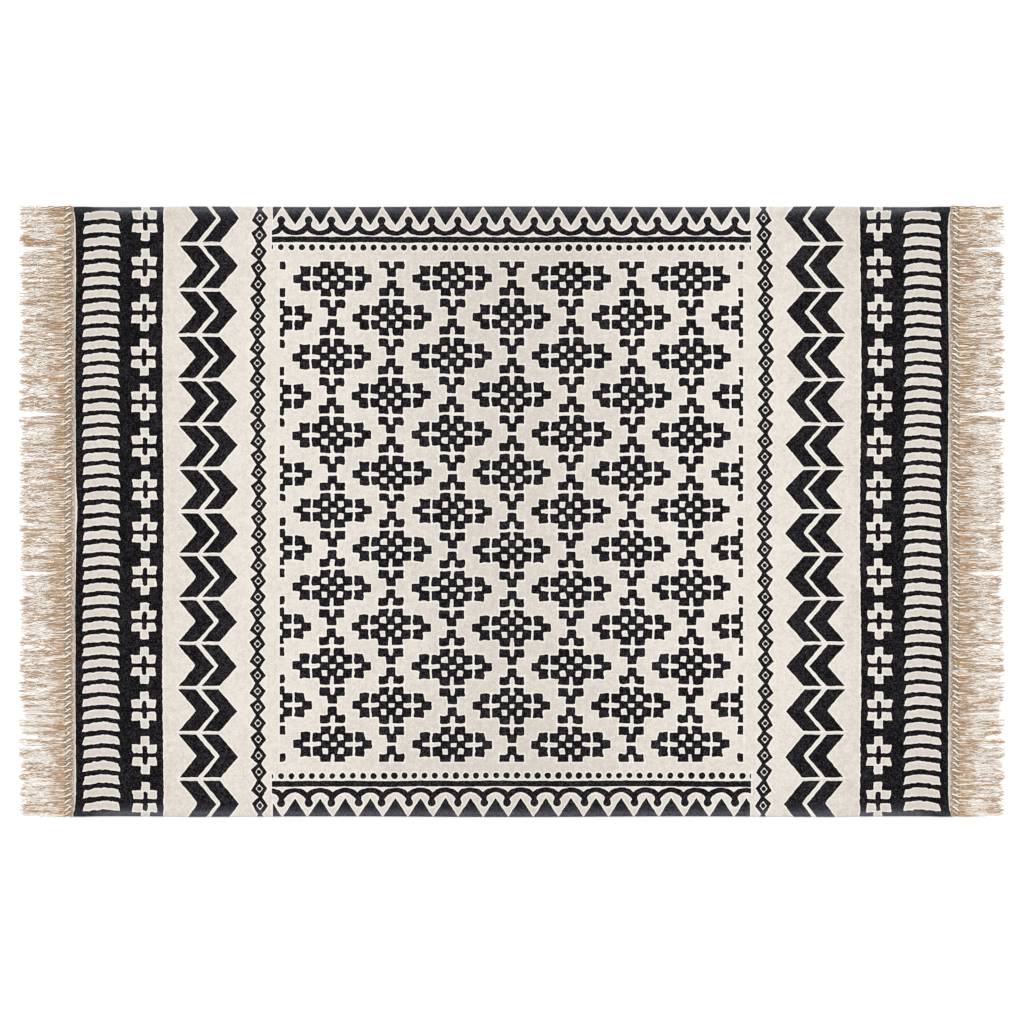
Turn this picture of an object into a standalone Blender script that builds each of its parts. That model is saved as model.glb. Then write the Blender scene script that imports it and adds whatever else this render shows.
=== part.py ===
# Flat-woven cotton rug with a knotted yarn fringe along both short ends.
#
# Frame: metres, +Z up. The origin is the centre of the underside, +X runs along the rug
# from fringe to fringe, and +Y runs across it. Everything rests on the plane z = 0.
#
# Pieces: the cloth, one flat sheet with a turned hem along each long edge, and at each short
# end a fringe, whose narrow heading carries a row of knots, each with its lock of loose yarn.

import math
import random
from collections import namedtuple

import bmesh
import bpy
from mathutils import Vector

# Cloth
CLOTH_LENGTH = 1.290
CLOTH_WIDTH = 0.900
HALF_WIDTH = CLOTH_WIDTH / 2
CLOTH_THICKNESS = 0.0022
CLOTH_BAYS = 24
INNER_ROWS = 9

# Unevenness of the cut outline
END_WAIST = 0.0014
HEM_EAR = 0.0015
EDGE_WAVE = 0.0010
EDGE_WAVES = 2.5

# Fringe heading, parted from the cloth's end by a thin seam
SEAM_GAP = 0.0003
HEADING_WIDTH = 0.0050
HEADING_THICKNESS = 0.0024
HEADING_EDGE = CLOTH_LENGTH / 2 + HEADING_WIDTH

# Locks of yarn
KNOTS = 100
KNOT_PITCH = CLOTH_WIDTH / KNOTS
LOCK_LENGTH = 0.0770
LOCK_RAGGEDNESS = 0.0060
LOCK_SWAY = 0.0006
LOCK_GAP = 0.0004
LOCK_SEED = 11
TOP_SHARE = 0.6

# The hem, from the long edge inwards: distance from the edge, height of the top face, and
# how much of the hem's small ear, which stands out past the cloth's end, is there.
HemRow = namedtuple("HemRow", "inset height ear")
HEM_ROWS = (
    HemRow(inset=0.0000, height=0.0016, ear=1.0),
    HemRow(inset=0.0007, height=0.0031, ear=1.0),
    HemRow(inset=0.0024, height=0.0042, ear=1.0),
    HemRow(inset=0.0090, height=0.0042, ear=1.0),
    HemRow(inset=0.0120, height=0.0022, ear=0.0),
)
HEM_DEPTH = HEM_ROWS[-1].inset

# A lock from its knot to its tip: share of the lock's length, width, height, and how far the
# lock has drifted sideways there, as a share of its drift at the tip.
LockSection = namedtuple("LockSection", "along width height drift")
LOCK_SECTIONS = (
    LockSection(along=0.020, width=0.0052, height=0.0028, drift=0.00),
    LockSection(along=0.075, width=0.0080, height=0.0050, drift=0.00),
    LockSection(along=0.135, width=0.0054, height=0.0032, drift=0.04),
    LockSection(along=0.320, width=0.0082, height=0.0036, drift=0.30),
    LockSection(along=0.700, width=0.0074, height=0.0028, drift=0.75),
    LockSection(along=1.000, width=0.0044, height=0.0012, drift=1.00),
)

# Places where the fringe lies open: the parting's place across the rug, how wide it is at the
# tips, and how far to each side the locks are pushed along.
Parting = namedtuple("Parting", "y opening reach")
PARTINGS = (
    Parting(y=0.4165, opening=0.0022, reach=0.012),
    Parting(y=0.3850, opening=0.0080, reach=0.022),
    Parting(y=0.3635, opening=0.0028, reach=0.012),
    Parting(y=0.1785, opening=0.0022, reach=0.012),
    Parting(y=0.1485, opening=0.0085, reach=0.022),
    Parting(y=0.1255, opening=0.0028, reach=0.012),
    Parting(y=-0.0615, opening=0.0022, reach=0.012),
    Parting(y=-0.0940, opening=0.0085, reach=0.022),
    Parting(y=-0.1145, opening=0.0028, reach=0.012),
    Parting(y=-0.2975, opening=0.0034, reach=0.014),
)

# Surface colours, linear
COTTON = (0.775, 0.723, 0.651)
YARN = (0.694, 0.578, 0.479)
COTTON_ROUGHNESS = 0.9
YARN_ROUGHNESS = 0.75


def clear_scene():
    for obj in list(bpy.data.objects):
        bpy.data.objects.remove(obj)


def press_to_floor(bm):
    """Thickens the sheet that bm holds down to the floor, as one closed solid."""
    extruded = bmesh.ops.extrude_face_region(bm, geom=bm.faces[:])
    for item in extruded["geom"]:
        if isinstance(item, bmesh.types.BMVert):
            item.co.z = 0.0
    bmesh.ops.recalc_face_normals(bm, faces=bm.faces)


def cloth_material(name, colour, roughness):
    material = bpy.data.materials.new(name)
    material.use_nodes = True
    shader = material.node_tree.nodes["Principled BSDF"]
    shader.inputs["Base Color"].default_value = (*colour, 1.0)
    shader.inputs["Roughness"].default_value = roughness
    shader.inputs["Metallic"].default_value = 0.0
    return material


def piece_from(bm, name, material, collection):
    bmesh.ops.recalc_face_normals(bm, faces=bm.faces)
    mesh = bpy.data.meshes.new(name)
    bm.to_mesh(mesh)
    bm.free()
    mesh.materials.append(material)
    piece = bpy.data.objects.new(name, mesh)
    collection.objects.link(piece)
    return piece


def end_of_cloth(y, ear):
    """How far from the middle the cloth's short end lies at this place across the rug."""
    across = y / HALF_WIDTH
    return CLOTH_LENGTH / 2 - END_WAIST * (1 - across * across) + HEM_EAR * ear


def edge_share(x, side):
    """The cloth's width at this place along the rug, as a share of its full width."""
    phase = 2 * math.pi * EDGE_WAVES * side * x / CLOTH_LENGTH
    return 1 - EDGE_WAVE * (1 - math.cos(phase)) / CLOTH_WIDTH


def cloth_rows():
    """The rows of points from one long edge to the other, as (y, height, ear)."""
    hem = [(HALF_WIDTH - row.inset, row.height, row.ear) for row in HEM_ROWS]
    inner_edge = HALF_WIDTH - HEM_DEPTH
    rows = [(-y, height, ear) for y, height, ear in hem]
    for step in range(1, INNER_ROWS + 1):
        share = 2 * step / (INNER_ROWS + 1) - 1
        rows.append((inner_edge * share, CLOTH_THICKNESS, 0.0))
    rows += reversed(hem)
    return rows


def make_cloth(material, collection):
    rows = cloth_rows()
    bays_across = len(rows) - 1
    bm = bmesh.new()
    bmesh.ops.create_grid(bm, x_segments=CLOTH_BAYS, y_segments=bays_across, size=1.0)
    for vert in bm.verts:
        row = round((vert.co.y + 1) / 2 * bays_across)
        y, height, ear = rows[row]
        side = math.copysign(1, y)
        x = vert.co.x * end_of_cloth(y, ear)
        vert.co = Vector((x, y * edge_share(x, side), height))
    press_to_floor(bm)
    return piece_from(bm, "cloth", material, collection)


def parting_push(y):
    """How far the partings push the tip of the lock that is knotted at y."""
    push = 0.0
    for parting in PARTINGS:
        away = y - parting.y
        fade = math.exp(-abs(away) / parting.reach)
        push += math.copysign(parting.opening / 2, away) * fade
    return push


def lock_layout():
    """Each lock's length, and its centre and width at every section, clear of its neighbours."""
    chance = random.Random(LOCK_SEED)
    knots = [(i + 0.5) * KNOT_PITCH - HALF_WIDTH for i in range(KNOTS)]
    lengths = [LOCK_LENGTH - LOCK_RAGGEDNESS * chance.random() ** 2 for _ in knots]
    sways = [LOCK_SWAY * (2 * chance.random() - 1) for _ in knots]
    sways[0] = sways[-1] = 0.0
    layout = []
    for section in LOCK_SECTIONS:
        centres = [
            y + section.drift * (parting_push(y) + sway) for y, sway in zip(knots, sways)
        ]
        widths = []
        for i, y in enumerate(centres):
            neighbours = centres[max(i - 1, 0) : i] + centres[i + 1 : i + 2]
            room = min(abs(y - other) for other in neighbours) - LOCK_GAP
            widths.append(min(section.width, room))
        layout.append((section, centres, widths))
    return lengths, layout


def draw_out(bm, face, x, y, width, height):
    """Extrudes one end face to its next section, a flat-bottomed trapezium resting at z = 0."""
    face = bmesh.ops.extrude_discrete_faces(bm, faces=[face])["faces"][0]
    middle_y = face.calc_center_median().y
    middle_z = face.calc_center_median().z
    for vert in face.verts:
        upper = vert.co.z > middle_z
        half = width / 2 * (TOP_SHARE if upper else 1.0)
        side = 1 if vert.co.y > middle_y else -1
        vert.co = Vector((x, y + side * half, height if upper else 0.0))
    return face


def make_fringe(name, end, material, collection):
    """The heading and its knotted locks. end is +1 or -1, the end of the rug that it is on."""
    bm = bmesh.new()
    bmesh.ops.create_grid(bm, x_segments=1, y_segments=KNOTS, size=1.0)
    for vert in bm.verts:
        y = vert.co.y * HALF_WIDTH
        ear = 1.0 if HALF_WIDTH - abs(y) < HEM_DEPTH else 0.0
        inner = end_of_cloth(y, ear) + SEAM_GAP
        x = HEADING_EDGE if vert.co.x > 0 else inner
        vert.co = Vector((x, y, HEADING_THICKNESS))
    press_to_floor(bm)

    outer = [f for f in bm.faces if f.calc_center_median().x > HEADING_EDGE - SEAM_GAP]
    outer.sort(key=lambda f: f.calc_center_median().y)
    lengths, layout = lock_layout()
    for i, face in enumerate(outer):
        for section, centres, widths in layout:
            x = HEADING_EDGE + lengths[i] * section.along
            face = draw_out(bm, face, x, centres[i], widths[i], section.height)
    for vert in bm.verts:
        vert.co.x *= end
    return piece_from(bm, name, material, collection)


def main():
    clear_scene()
    rug = bpy.data.collections.new("cotton_rug")
    bpy.context.scene.collection.children.link(rug)
    cotton = cloth_material("printed_cotton", COTTON, COTTON_ROUGHNESS)
    yarn = cloth_material("fringe_yarn", YARN, YARN_ROUGHNESS)
    make_cloth(cotton, rug)
    make_fringe("fringe_left", -1, yarn, rug)
    make_fringe("fringe_right", 1, yarn, rug)


main()
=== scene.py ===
# Looks of the printed cotton rug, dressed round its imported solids.
#
# The cloth is one sheet with a turned and stitched hem along each long edge. Its print is laid
# on by nodes, one material for each band of the print. Each end has a ribbed heading, a row of
# knots, and loose yarn.

import math
import random
from collections import namedtuple

import bpy
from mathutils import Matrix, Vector


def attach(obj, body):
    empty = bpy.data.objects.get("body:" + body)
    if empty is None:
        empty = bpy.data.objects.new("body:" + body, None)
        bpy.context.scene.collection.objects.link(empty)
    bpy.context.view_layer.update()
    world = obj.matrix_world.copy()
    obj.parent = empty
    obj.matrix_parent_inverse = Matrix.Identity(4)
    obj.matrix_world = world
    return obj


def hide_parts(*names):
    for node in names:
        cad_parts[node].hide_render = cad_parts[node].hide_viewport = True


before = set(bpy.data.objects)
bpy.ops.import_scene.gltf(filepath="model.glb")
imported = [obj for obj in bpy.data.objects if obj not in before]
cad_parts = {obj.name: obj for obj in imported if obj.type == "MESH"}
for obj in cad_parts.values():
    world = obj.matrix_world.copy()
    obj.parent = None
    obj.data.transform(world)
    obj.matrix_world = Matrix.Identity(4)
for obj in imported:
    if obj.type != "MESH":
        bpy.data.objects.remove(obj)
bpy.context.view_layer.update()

MM = 0.001
IN_MM = 1000.0

# Camera, as far away as makes the photograph's frame 1.508 m wide on the rug
LENS = 100.0
SENSOR = 36.0
FRAME_WIDTH = 1.508
CAMERA_HEIGHT = FRAME_WIDTH * LENS / SENSOR
CAMERA_ALONG = 0.00015
CAMERA_ACROSS = -0.0005

# A soft sun, a white studio round it, and the floor
KEY_STRENGTH = 1.60
KEY_SOFTNESS = math.radians(22)
KEY_AIM = (0.18, -0.36, -1.0)
STUDIO_STRENGTH = 0.70
FLOOR_SIZE = 120.0

# Cloth, the same values as its solid
CLOTH_LENGTH = 1.290
CLOTH_WIDTH = 0.900
HALF_LENGTH = CLOTH_LENGTH / 2
HALF_WIDTH = CLOTH_WIDTH / 2
END_WAIST = 0.0014
HEM_EAR = 0.0015
EDGE_WAVE = 0.0010
EDGE_WAVES = 2.5
SEAM_GAP = 0.0003

# The sheet itself: its thickness and the height of its middle, its low swells, which fade out
# beside the hems, and the places where the sewing draws its long edges in
SHEET_THICKNESS = 0.0020
SHEET_MIDDLE = 0.00115
SHEET_LIFT = 0.0004
LIFT_FADE = 0.03
HEM_PINCH = 0.0010
PINCH_AT = 0.560
PINCH_REACH = 0.070
CLOTH_COLUMNS = 86
CLOTH_ROWS = 58
SMOOTH_ANGLE = math.radians(50)

# The hem in section, as its middle line runs from the flat cloth outwards, round the fold and
# back under to the cut edge: distance from the long edge and height, in millimetres.
HEM_START = 19.0
HEM_SECTION = (
    (16.6, 1.30),
    (14.4, 1.75),
    (12.4, 2.45),
    (10.4, 3.00),
    (8.4, 3.15),
    (5.6, 3.15),
    (3.1, 3.12),
    (2.25, 2.95),
    (1.72, 2.58),
    (1.50, 2.10),
    (1.72, 1.62),
    (2.25, 1.24),
    (3.1, 1.06),
    (6.2, 1.05),
    (10.0, 1.05),
)
EAR_DEPTH = 0.0116

# The seam of each hem
STITCH_INSET = 0.0092
STITCH_PITCH = 0.0038
STITCH_LENGTH = 0.0029
STITCH_THICKNESS = 0.0005
STITCH_HEIGHT = 0.00408
STITCH_DIP = 0.0005
SEAM_END = 0.003

# How the sheet is laid out on a square for baking: a margin, the printed side, and the strips
# for the back and for the rim
MAP_MARGIN = 0.004
MAP_LENGTH = 1 - 2 * MAP_MARGIN
MAP_FACE_FROM = 0.125
MAP_FACE = 0.871
MAP_BACK = 0.100
MAP_RIM_FROM = 0.109
MAP_RIM_TO = 0.119
MAP_RIM_FILL = 0.7

# Heading
HEADING_EDGE = HALF_LENGTH + 0.0050
HEADING_TOP = 0.0024
HEADING_THICKNESS = 0.0014
HEADING_ROWS = 450
HEADING_RIBS = 3
HEADING_WAVE = 0.00025
HEADING_STRAY = 0.0002
RIB_DEPTH = 0.0007
RIB_TWIST = 0.0024
RIB_ANGLE = math.radians(60)

# Fringe, the same values as its solids
KNOTS = 100
KNOT_PITCH = CLOTH_WIDTH / KNOTS
LOCK_LENGTH = 0.0770
LOCK_RAGGEDNESS = 0.0060
LOCK_SWAY = 0.0006
LOCK_SEED = 11
Parting = namedtuple("Parting", "y opening reach")
PARTINGS = (
    Parting(y=0.4165, opening=0.0022, reach=0.012),
    Parting(y=0.3850, opening=0.0080, reach=0.022),
    Parting(y=0.3635, opening=0.0028, reach=0.012),
    Parting(y=0.1785, opening=0.0022, reach=0.012),
    Parting(y=0.1485, opening=0.0085, reach=0.022),
    Parting(y=0.1255, opening=0.0028, reach=0.012),
    Parting(y=-0.0615, opening=0.0022, reach=0.012),
    Parting(y=-0.0940, opening=0.0085, reach=0.022),
    Parting(y=-0.1145, opening=0.0028, reach=0.012),
    Parting(y=-0.2975, opening=0.0034, reach=0.014),
)

# Yarn: a pair of values is the least and the most that a yarn may have, in millimetres where
# it isn't a share
YARNS_IN_LOCK = 8
UPPER_YARNS = 3
YARN_THICKNESS = 0.00125
YARN_POINTS = 29
YARN_SEED = 23
YARN_START = 0.0070
YARN_TIP = 0.0003
YARN_RAGGEDNESS = 0.0075
YARN_REST = 0.00012
YARN_LIFT = 0.0005
YARN_LIFT_LENGTH = 0.016
BROKEN_SHARE = 0.03
BROKEN_LENGTH = 0.8
WISP_SWING = 0.0013
TIP_SWING = 0.0021
TAPER_FROM = 0.9
TAPER = 0.45
THICKNESS_SHARE = (0.78, 1.15)
SWAY = (0.4, 1.7)
SWAY_LENGTH = (16.0, 38.0)
CRIMP = (0.15, 0.70)
CRIMP_LENGTH = (8.0, 14.0)
CROSSING_SHARE = 0.25
CROSSING = (2.5, 8.0)
CROSSING_START = (0.0, 0.35)
CROSSING_LIFT = 0.0011
CURL_SHARE = 0.05
CURL_START = 0.58
CURL_RADIUS = (3.6, 7.0)
CURL_LIFT = 0.0013
OPEN_GAP = 0.0110
OPEN_REACH = (2.6, 4.4)
FRINGE_LIMIT = HALF_WIDTH + 0.0015

# Knots: how far each may differ in lean, length, height, place and thickness of yarn
KNOT_YARN = 0.0022
KNOT_LEAN = (0.60, 1.22)
KNOT_LENGTH = (0.86, 1.12)
KNOT_RISE = (0.72, 1.05)
KNOT_SHIFT = (-1.2, 1.2)
KNOT_FULLNESS = (0.90, 1.25)

# Stray fibres in the wide partings
FIBRES_IN_PARTING = 4
FIBRE_PARTING = 0.005
FIBRE_THICKNESS = 0.0004
FIBRE_POINTS = 12
FIBRE_START = (18.0, 34.0)
FIBRE_LENGTH = (20.0, 40.0)
FIBRE_BOW = (-2.2, 2.2)
FIBRE_LEAN = (-2.0, 2.0)

# Print, in millimetres from the middle of the rug: out is towards the fringe, side is towards
# the long edge. Each band's own measures stand above its function.
HALF_SIDE = 449.0
RAISED = 0.45
MIDDLE_SHIFT = 0.7
ROW_PITCH = 65.25
ROW_STRETCH = 0.020
CROSS_STRETCH = 0.013
BAND_OUTER = 642.8
BAND_INNER = 513.6
PANEL_END = 352.9

# Where one band's material gives way to the next, always in plain ground: how far out the
# bars, the crosses, the chevrons and the chain start, and how far the field goes to the side
BANDS_FROM = (0.568, 0.501, 0.394, 0.357)
FIELD_TO_SIDE = 0.377

# Colours, linear
CREAM_LIGHT = (0.765, 0.716, 0.652)
CREAM_DARK = (0.575, 0.528, 0.470)
CREAM_BESIDE_INK = (0.960, 0.925, 0.870)
CREAM_END = (0.660, 0.585, 0.500)
INK_DARK = (0.0018, 0.0013, 0.0024)
INK_LIGHT = (0.054, 0.049, 0.056)
# Light bluish grey for the ink on the hems' fold: worn ink with a painted sheen
INK_WORN_AND_SHEEN = (0.105, 0.104, 0.125)
BACK_LIGHT = (0.700, 0.650, 0.570)
BACK_DARK = (0.560, 0.510, 0.430)
YARN_PALE = (1.000, 0.950, 0.872)
YARN_WARM = (0.960, 0.830, 0.680)
YARN_TAN = (0.590, 0.395, 0.240)
YARN_SHADE = (0.300, 0.232, 0.164)
# Nearly white, for the painted highlight on the knots' loops
LOOP_HIGHLIGHT = (1.000, 0.935, 0.850)
COTTON_FLECK = (0.200, 0.140, 0.090)
HEADING_LIGHT = (0.690, 0.610, 0.515)
HEADING_DARK = (0.280, 0.215, 0.155)
FLOOR = (0.930, 0.930, 0.930)

TAU = 2 * math.pi


# Numbers in material nodes


class Wire:
    """A number in a material's nodes, which adds and multiplies as a plain one does."""

    def __init__(self, tree, socket):
        self.tree = tree
        self.socket = socket

    def __add__(self, other):
        return reckon("ADD", self, other)

    def __sub__(self, other):
        return reckon("SUBTRACT", self, other)

    def __rsub__(self, other):
        return reckon("SUBTRACT", other, self)

    def __mul__(self, other):
        return reckon("MULTIPLY", self, other)

    def __truediv__(self, other):
        return reckon("DIVIDE", self, other)

    def __neg__(self):
        return reckon("MULTIPLY", self, -1.0)

    def __abs__(self):
        return reckon("ABSOLUTE", self)

    def __pow__(self, other):
        return reckon("POWER", self, other)

    __radd__ = __add__
    __rmul__ = __mul__


def reckon(operation, *values, clamp=False):
    tree = next(value.tree for value in values if isinstance(value, Wire))
    node = tree.nodes.new("ShaderNodeMath")
    node.operation = operation
    node.use_clamp = clamp
    for slot, value in zip(node.inputs, values):
        if isinstance(value, Wire):
            tree.links.new(value.socket, slot)
        else:
            slot.default_value = value
    return Wire(tree, node.outputs[0])


def least(a, b):
    return reckon("MINIMUM", a, b)


def most(a, b):
    return reckon("MAXIMUM", a, b)


def soft_least(a, b, over):
    return reckon("SMOOTH_MIN", a, b, over)


def soft_most(a, b, over):
    return reckon("SMOOTH_MAX", a, b, over)


def limited(value):
    """The value, kept between 0 and 1."""
    return reckon("ADD", value, 0.0, clamp=True)


def within_one(value):
    """The value, kept between -1 and 1."""
    return least(most(value, -1.0), 1.0)


def wave(value, length, phase=0.0):
    return reckon("SINE", reckon("MULTIPLY_ADD", value, TAU / length, phase))


def distance(a, b):
    return reckon("SQRT", reckon("MULTIPLY_ADD", a, a, b * b))


def from_nearest(value, pitch):
    """How far a place lies from the nearest multiple of the pitch, with its sign."""
    return reckon("WRAP", value, pitch / 2, -pitch / 2)


def block_from(piece, x, y, corner):
    """How far a place lies outside a block with rounded corners."""
    return soft_most(abs(x - piece.x) - piece.half_x, abs(y - piece.y) - piece.half_y, corner)


def colour_between(share, low, high):
    """The colour at this share of the way from low to high, each a colour or a socket."""
    tree = share.tree
    node = tree.nodes.new("ShaderNodeMix")
    node.data_type = "RGBA"
    node.clamp_factor = True
    tree.links.new(share.socket, node.inputs[0])
    for slot, colour in ((node.inputs[6], low), (node.inputs[7], high)):
        if isinstance(colour, tuple):
            slot.default_value = (*colour, 1.0)
        else:
            tree.links.new(colour, slot)
    return node.outputs[2]


# Cloth materials

Places = namedtuple("Places", "tree object x y z out side")


def places_on(material):
    """Where a point of a piece lies, in millimetres, from the nodes of its material."""
    tree = material.node_tree
    coordinates = tree.nodes.new("ShaderNodeTexCoord")
    split = tree.nodes.new("ShaderNodeSeparateXYZ")
    tree.links.new(coordinates.outputs["Object"], split.inputs[0])
    x, y, z = (Wire(tree, split.outputs[i]) * IN_MM for i in range(3))
    return Places(tree, coordinates.outputs["Object"], x, y, z, abs(x), abs(y))


def noise(places, scale, detail=0.0, stretch=None, vector=None):
    """Soft noise, about 0.5: its number and its colour's three numbers."""
    tree = places.tree
    vector = vector or places.object
    node = tree.nodes.new("ShaderNodeTexNoise")
    node.inputs["Scale"].default_value = scale
    node.inputs["Detail"].default_value = detail
    if stretch:
        mapping = tree.nodes.new("ShaderNodeMapping")
        mapping.inputs["Scale"].default_value = stretch
        tree.links.new(vector, mapping.inputs["Vector"])
        vector = mapping.outputs["Vector"]
    tree.links.new(vector, node.inputs["Vector"])
    return node


def number_from(node):
    return Wire(node.id_data, node.outputs[0])


def uneven(places, scale, detail=0.0, stretch=None):
    """A number that strays softly about 0, by a fifth or so."""
    return number_from(noise(places, scale, detail, stretch)) - 0.5


def parts_of(node):
    """Three separate noises from one noise's colour."""
    tree = node.id_data
    split = tree.nodes.new("ShaderNodeSeparateColor")
    tree.links.new(node.outputs[1], split.inputs[0])
    return [Wire(tree, split.outputs[i]) for i in range(3)]


def hand_wobble(places, vector=None, amount=3.2, size=8.0):
    """How far the hand-cut edges stray along and across, in millimetres."""
    source = noise(places, IN_MM / size, 1.0, vector=vector)
    along, across, _ = parts_of(source)
    return (along - 0.5) * amount, (across - 0.5) * amount


def drifted(places, wobble, slow, edge, inward, lean):
    """The distance out on the print, which drifts in a slow wave across the rug.

    slow is the height of the wave, edge how much further in the print lies beside the long
    edges, inward how far in it all lies, and lean how much further in at the right end.
    """
    share = places.side / HALF_SIDE
    drift = reckon("COSINE", places.side * (TAU / HALF_SIDE)) * slow
    tilt = limited(places.x) * (1.0 - places.y / 800.0) * lean
    return places.out + drift + share**10.0 * edge + inward + tilt + wobble


def stretched(places, stretch, wobble):
    """The distance to the side on the print, whose rows lie wider near the long edges."""
    share = places.side / HALF_SIDE
    return abs(places.y - RAISED) * (1.0 - share**4.0 * stretch) + wobble


# Cream bars on the dark band: their rows, the crest of their arch, their two ends and how far
# they go on to the side
BAR_PITCH = 18.87
BARS_BEFORE_MIDDLE = 23.170
BAR_HALF = 5.95
BAR_CREST = 600.5
BAR_OUTER = 630.3
BAR_INNER = 578.05
BARS_SIDE = 441.7


def bars_print(places):
    along, across = hand_wobble(places, amount=3.6, size=7.0)
    out = drifted(places, along, slow=0.55, edge=0.4, inward=-0.8, lean=0.1)
    y = places.y
    row = (
        BARS_BEFORE_MIDDLE
        - y / BAR_PITCH
        + wave(y, 400.0, 0.357) * 0.0965
        + wave(y, 1200.0, 0.13 + math.pi / 2) * 0.0945
    )
    down = from_nearest(row, 1.0) * BAR_PITCH + across
    hump = out - BAR_CREST
    down = down - (reckon("SQRT", hump * hump + 25.0) * 0.14 - 0.7)
    thin = abs(down) - (BAR_HALF - abs(hump) * 0.016)
    outer = out - BAR_OUTER - down * 0.26
    inner = BAR_INNER - down * 0.35 - out
    bar = soft_most(thin, most(outer, inner), 2.2)
    bar = most(bar, abs(y - 0.9) - BARS_SIDE)
    slow = uneven(places, 9.0, 1.0)
    ear = limited((places.side - 439.5) / 3.0) * 1.7 + limited((places.side - 420.0) / 20.0) * 1.3
    near = (y - 4.0) / 24.0
    dip = reckon("DIVIDE", 2.3, near * near + 1.0)
    swell = reckon("COSINE", (places.side - 200.0) * (TAU / 350.0)) * 0.45
    edge = places.out - (BAND_OUTER + swell) - slow * 2.0 - ear + dip + along * 0.4
    return most(edge, -bar)


# A cross, with a slot in each end of its arms: where its middle lies, then half sizes
CROSS_OUT = 540.5
ARM_OUT = 541.4
ARM_LENGTH = 17.7
ARM_SIDE = 9.1
ARM_HALF = 6.0
UPRIGHT_OUT = 540.2
UPRIGHT_HALF = 6.25
UPRIGHT_LENGTH = 26.9
KEYHOLE_SIDE = 9.9
KEYHOLE_HALF = 3.6
SLOT_HALF = 2.9


def crosses_print(places):
    along, across = hand_wobble(places, amount=3.0, size=7.0)
    out = drifted(places, along, slow=0.95, edge=0.0, inward=-0.1, lean=0.35)
    side = stretched(places, CROSS_STRETCH, across) + limited(abs(places.y - 30.0) / 50.0) * 1.8
    row = from_nearest(side - ROW_PITCH / 2, ROW_PITCH)
    away = abs(row)
    flare = (away - 9.0) * 0.17
    arms = soft_most(
        abs(out - ARM_OUT) - ARM_LENGTH - flare, abs(away - ARM_SIDE) - ARM_HALF, 2.6
    )
    upright = soft_most(abs(out - UPRIGHT_OUT) - UPRIGHT_HALF, away - UPRIGHT_LENGTH, 2.6)
    cross = soft_least(arms, upright, 1.4)
    keyhole = distance(out - CROSS_OUT, most(away - KEYHOLE_SIDE, 0.0)) - KEYHOLE_HALF
    slot = away - SLOT_HALF - abs(out - CROSS_OUT) * 0.02
    cross = most(cross, -soft_least(keyhole, slot, 1.5))
    band = BAND_INNER - out
    return most(band, -cross)


# Two rows of chevrons: where the hollow of each starts and where its back ends. Each stands
# apart from the next in its row, and those at the middle of the rug from each other.
Chevron = namedtuple("Chevron", "hollow back")
OUTER_CHEVRON = Chevron(hollow=437.0, back=463.9)
INNER_CHEVRON = Chevron(hollow=403.3, back=429.9)
CHEVRON_ROW_SHIFT = 1.9
CHEVRON_HALF_ROW = 30.3
CHEVRON_MIDDLE_GAP = 2.9


def chevrons_print(places):
    along, across = hand_wobble(places, amount=2.2, size=9.0)
    out = drifted(places, along, slow=1.0, edge=2.0, inward=-0.55, lean=0.75)
    side = stretched(places, ROW_STRETCH, across)
    row = from_nearest(side - ROW_PITCH / 2, ROW_PITCH)
    point = most(row * 0.91, row * -0.85)
    low = row + 1.5
    notch = reckon("SQRT", low * low + 1.5) * 0.865
    first, second = (
        most(chevron.hollow + point - out, out - chevron.back - notch)
        for chevron in (OUTER_CHEVRON, INNER_CHEVRON)
    )
    chevrons = least(first, second) * 0.76
    chevrons = soft_most(chevrons, abs(row + CHEVRON_ROW_SHIFT) - CHEVRON_HALF_ROW, 0.8)
    return most(chevrons, CHEVRON_MIDDLE_GAP - side)


# A chain of diamonds, each with a hollow and a dot in its middle
CHAIN_PITCH = 22.93
LINK_OUT = 372.9
LINK_MIDDLE = 11.4
HOLLOW_OUT = 5.4
HOLLOW_SIDE = 6.0
LINK_DOT = 3.3


def chain_print(places):
    along, across = hand_wobble(places, amount=1.4, size=6.0)
    out = drifted(places, along, slow=1.0, edge=2.4, inward=-0.75, lean=0.75)
    side = stretched(places, ROW_STRETCH, across)
    side = side - limited(places.y / -40.0) * (places.side * 0.0065 - 1.1)
    link = reckon("PINGPONG", side, CHAIN_PITCH)
    outer = least(link * 1.25 + 374.5, 385.2 - (link - 8.4) * 0.6125)
    inner = most(369.1 - link * 0.697, 360.7 + (link - 11.9) * 0.8975)
    ring = soft_most(out - outer, inner - out, 1.2) * 0.75
    hollow = abs(out - LINK_OUT) / HOLLOW_OUT + abs(link - LINK_MIDDLE) / HOLLOW_SIDE
    hollow = (hollow - 1.0) * 4.0
    dot = distance(out - LINK_OUT, link - LINK_MIDDLE) - LINK_DOT
    return least(most(ring, -hollow), dot)


# The border along each long edge, from the edge inwards: triangles, arcs with a knob where
# they meet, a line and a row of dots
BORDER_PITCH = 36.94
BORDER_FIRST = -319.6
TRIANGLE_TIP = 421.1
ARC_UPPER = 413.1
ARC_LOWER = 405.9
KNOB_OFFSET = 1.77
KNOB_TURN = -79.5
KNOB_SIDE = 428.2
KNOB_HALF = 6.0
STEM_SIDE = 421.0
STEM_HALF = 3.8
STEM_LENGTH = 7.5
LINE_SIDE = 400.3
LINE_HALF = 4.35
DOT_PITCH = 15.08
DOT_FIRST = -339.4
DOT_SIDE = 388.5
DOT_HALF = 4.7


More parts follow.
